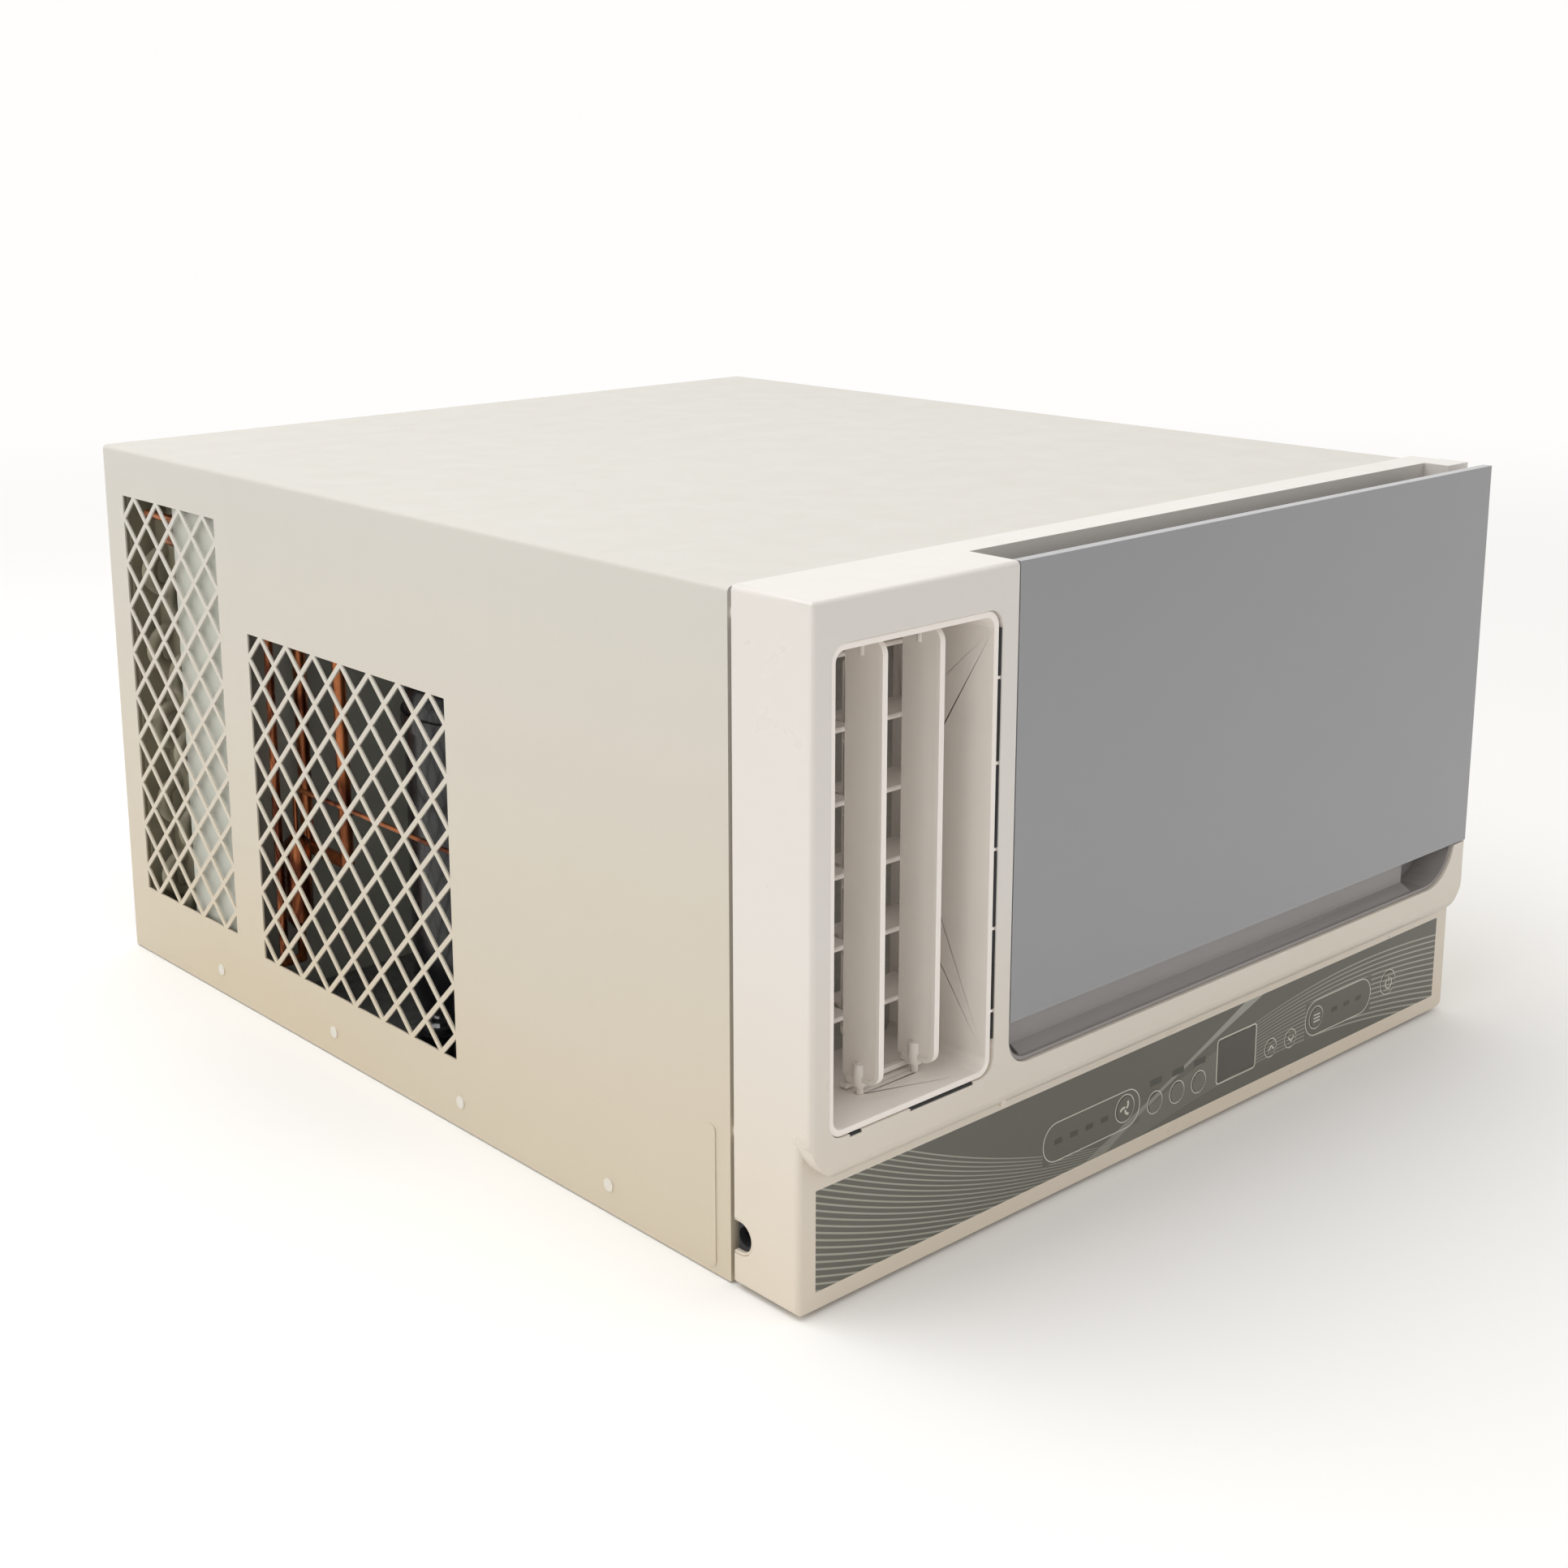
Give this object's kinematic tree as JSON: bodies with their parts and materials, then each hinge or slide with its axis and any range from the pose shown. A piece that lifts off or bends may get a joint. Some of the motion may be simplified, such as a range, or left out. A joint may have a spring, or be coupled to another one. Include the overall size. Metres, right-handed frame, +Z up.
{
  "type": "window air conditioner",
  "caption": "Box-shaped window air conditioner with a side air outlet, tilting intake panel, push-button control strip and open rear condenser.",
  "frame": {"origin": "centre of the overall box's underside, where the base pan rests", "axes": "+X to the right seen from the room, +Y from the room side to the outdoor side, +Z up"},
  "size_m": [0.602, 0.721, 0.374],
  "materials": {
    "cabinet_paint": "satin powder coat",
    "bezel_plastic": "fine-grained semi-gloss moulding",
    "panel_plastic": "glossy neutral grey",
    "frame_plastic": "matt warm grey moulding",
    "outlet_plastic": "satin warm grey moulding",
    "overlay_film": "satin printed film",
    "display": "dark translucent window",
    "circuit_board": "solder mask",
    "galvanised": "galvanised sheet",
    "screw_steel": "coated to match the cabinet",
    "aluminium_fins": "thin bare fins",
    "coated_fins": "dark corrosion-resistant coating",
    "coil_coating": "dark olive corrosion-resistant coating",
    "copper": "bare copper",
    "white_foam": "moulded foam",
    "shroud_plastic": "pale moulding",
    "black_plastic": "matt",
    "black_enamel": "gloss black enamel",
    "motor_steel": "dark grey paint",
    "shaft_steel": "ground",
    "rubber": "matt",
    "filter_net": "woven nylon net"
  },
  "bodies": {
    "chassis": {"base_pan": "galvanised", "cabinet_shell": "cabinet_paint", "housing_screws": "screw_steel", "drain_spout": "black_plastic", "front_bezel": "bezel_plastic", "cord_grommet": "rubber", "intake_frame": "frame_plastic", "outlet_frame": "outlet_plastic", "swing_motor": "motor_steel", "control_overlay": "overlay_film", "display_window": "display", "control_board": "circuit_board", "drain_tray": "white_foam", "evaporator_fins": "aluminium_fins", "evaporator_tubes": "copper", "evaporator_end_plates": "galvanised", "blower_scroll": "white_foam", "scroll_front_plate": "white_foam", "bulkhead": "galvanised", "fan_motor": "motor_steel", "motor_bracket": "galvanised", "fan_shroud": "shroud_plastic", "condenser_fins": "coated_fins", "condenser_tubes": "coil_coating", "condenser_end_plates": "coil_coating", "compressor": "black_enamel", "compressor_grommets": "rubber", "compressor_studs": "shaft_steel", "accumulator": "black_enamel", "discharge_pipe": "copper", "suction_pipe": "copper", "liquid_pipe": "copper", "filter_drier": "copper", "capillary_tube": "copper", "control_box": "galvanised", "inverter_board": "circuit_board"},
    "fan rotor": {"motor_shaft": "shaft_steel", "blower_wheel": "black_plastic", "condenser_fan": "black_plastic"},
    "intake panel": {"intake_panel": "panel_plastic"},
    "air filter": {"filter_frame": "black_plastic", "filter_mesh": "filter_net"},
    "left louver": {"louver_left": "outlet_plastic"},
    "right louver": {"louver_right": "outlet_plastic"},
    "louver link": {"louver_link": "outlet_plastic"},
    "vane 1": {"vane_1": "outlet_plastic"},
    "vane 2": {"vane_2": "outlet_plastic"},
    "vane 3": {"vane_3": "outlet_plastic"},
    "vane 4": {"vane_4": "outlet_plastic"},
    "vane 5": {"vane_5": "outlet_plastic"},
    "vane 6": {"vane_6": "outlet_plastic"},
    "vane link": {"vane_link": "outlet_plastic"},
    "fan speed button": {"fan_speed_button": "overlay_film"},
    "swing button": {"swing_button": "overlay_film"},
    "timer button": {"timer_button": "overlay_film"},
    "sleep button": {"sleep_button": "overlay_film"},
    "temp up button": {"temp_up_button": "overlay_film"},
    "temp down button": {"temp_down_button": "overlay_film"},
    "mode button": {"mode_button": "overlay_film"},
    "power button": {"power_button": "overlay_film"}
  },
  "joints": [
    {"name": "fan spin", "type": "hinge", "parent": "chassis", "child": "fan rotor", "pos_m": [0.02, 0, 0.19], "axis": [0, 1, 0], "continuous": true},
    {"name": "panel tilt", "type": "hinge", "parent": "chassis", "child": "intake panel", "pos_m": [0, -0.3505, 0.368], "axis": [-1, 0, 0], "range_deg": [0, 60]},
    {"name": "filter lift", "type": "slide", "parent": "chassis", "child": "air filter", "axis": [0, 0, 1], "range_m": [0, 0.24]},
    {"name": "left louver swing", "type": "hinge", "parent": "chassis", "child": "left louver", "pos_m": [-0.242, -0.335, 0.227], "axis": [0, 0, 1], "range_deg": [-40, 40]},
    {"name": "right louver swing", "type": "hinge", "parent": "chassis", "child": "right louver", "pos_m": [-0.201, -0.335, 0.227], "axis": [0, 0, 1], "range_deg": [-40, 40]},
    {"name": "louver link pivot", "type": "hinge", "parent": "left louver", "child": "louver link", "pos_m": [-0.242, -0.327, 0.1043], "axis": [0, 0, 1], "range_deg": [-40, 40]},
    {"name": "vane 1 tilt", "type": "hinge", "parent": "chassis", "child": "vane 1", "pos_m": [-0.2285, -0.306, 0.332], "axis": [1, 0, 0], "range_deg": [-35, 35]},
    {"name": "vane 2 tilt", "type": "hinge", "parent": "chassis", "child": "vane 2", "pos_m": [-0.2285, -0.306, 0.293], "axis": [1, 0, 0], "range_deg": [-35, 35]},
    {"name": "vane 3 tilt", "type": "hinge", "parent": "chassis", "child": "vane 3", "pos_m": [-0.2285, -0.306, 0.254], "axis": [1, 0, 0], "range_deg": [-35, 35]},
    {"name": "vane 4 tilt", "type": "hinge", "parent": "chassis", "child": "vane 4", "pos_m": [-0.2285, -0.306, 0.215], "axis": [1, 0, 0], "range_deg": [-35, 35]},
    {"name": "vane 5 tilt", "type": "hinge", "parent": "chassis", "child": "vane 5", "pos_m": [-0.2285, -0.306, 0.176], "axis": [1, 0, 0], "range_deg": [-35, 35]},
    {"name": "vane 6 tilt", "type": "hinge", "parent": "chassis", "child": "vane 6", "pos_m": [-0.2285, -0.306, 0.137], "axis": [1, 0, 0], "range_deg": [-35, 35]},
    {"name": "vane link pivot", "type": "hinge", "parent": "vane 1", "child": "vane link", "pos_m": [-0.2295, -0.312, 0.322], "axis": [1, 0, 0], "range_deg": [-35, 35]},
    {"name": "fan speed press", "type": "slide", "parent": "chassis", "child": "fan speed button", "axis": [0, 1, 0], "range_m": [0, 0.0008], "stiffness_N_per_m": 400},
    {"name": "swing press", "type": "slide", "parent": "chassis", "child": "swing button", "axis": [0, 1, 0], "range_m": [0, 0.0008], "stiffness_N_per_m": 400},
    {"name": "timer press", "type": "slide", "parent": "chassis", "child": "timer button", "axis": [0, 1, 0], "range_m": [0, 0.0008], "stiffness_N_per_m": 400},
    {"name": "sleep press", "type": "slide", "parent": "chassis", "child": "sleep button", "axis": [0, 1, 0], "range_m": [0, 0.0008], "stiffness_N_per_m": 400},
    {"name": "temp up press", "type": "slide", "parent": "chassis", "child": "temp up button", "axis": [0, 1, 0], "range_m": [0, 0.0008], "stiffness_N_per_m": 400},
    {"name": "temp down press", "type": "slide", "parent": "chassis", "child": "temp down button", "axis": [0, 1, 0], "range_m": [0, 0.0008], "stiffness_N_per_m": 400},
    {"name": "mode press", "type": "slide", "parent": "chassis", "child": "mode button", "axis": [0, 1, 0], "range_m": [0, 0.0008], "stiffness_N_per_m": 400},
    {"name": "power press", "type": "slide", "parent": "chassis", "child": "power button", "axis": [0, 1, 0], "range_m": [0, 0.0008], "stiffness_N_per_m": 400}
  ],
  "couplings": [
    {"joint": "right louver swing", "follows": "left louver swing", "ratio": 1},
    {"joint": "louver link pivot", "follows": "left louver swing", "ratio": -1},
    {"joint": "vane 2 tilt", "follows": "vane 1 tilt", "ratio": 1},
    {"joint": "vane 3 tilt", "follows": "vane 1 tilt", "ratio": 1},
    {"joint": "vane 4 tilt", "follows": "vane 1 tilt", "ratio": 1},
    {"joint": "vane 5 tilt", "follows": "vane 1 tilt", "ratio": 1},
    {"joint": "vane 6 tilt", "follows": "vane 1 tilt", "ratio": 1},
    {"joint": "vane link pivot", "follows": "vane 1 tilt", "ratio": -1}
  ]
}
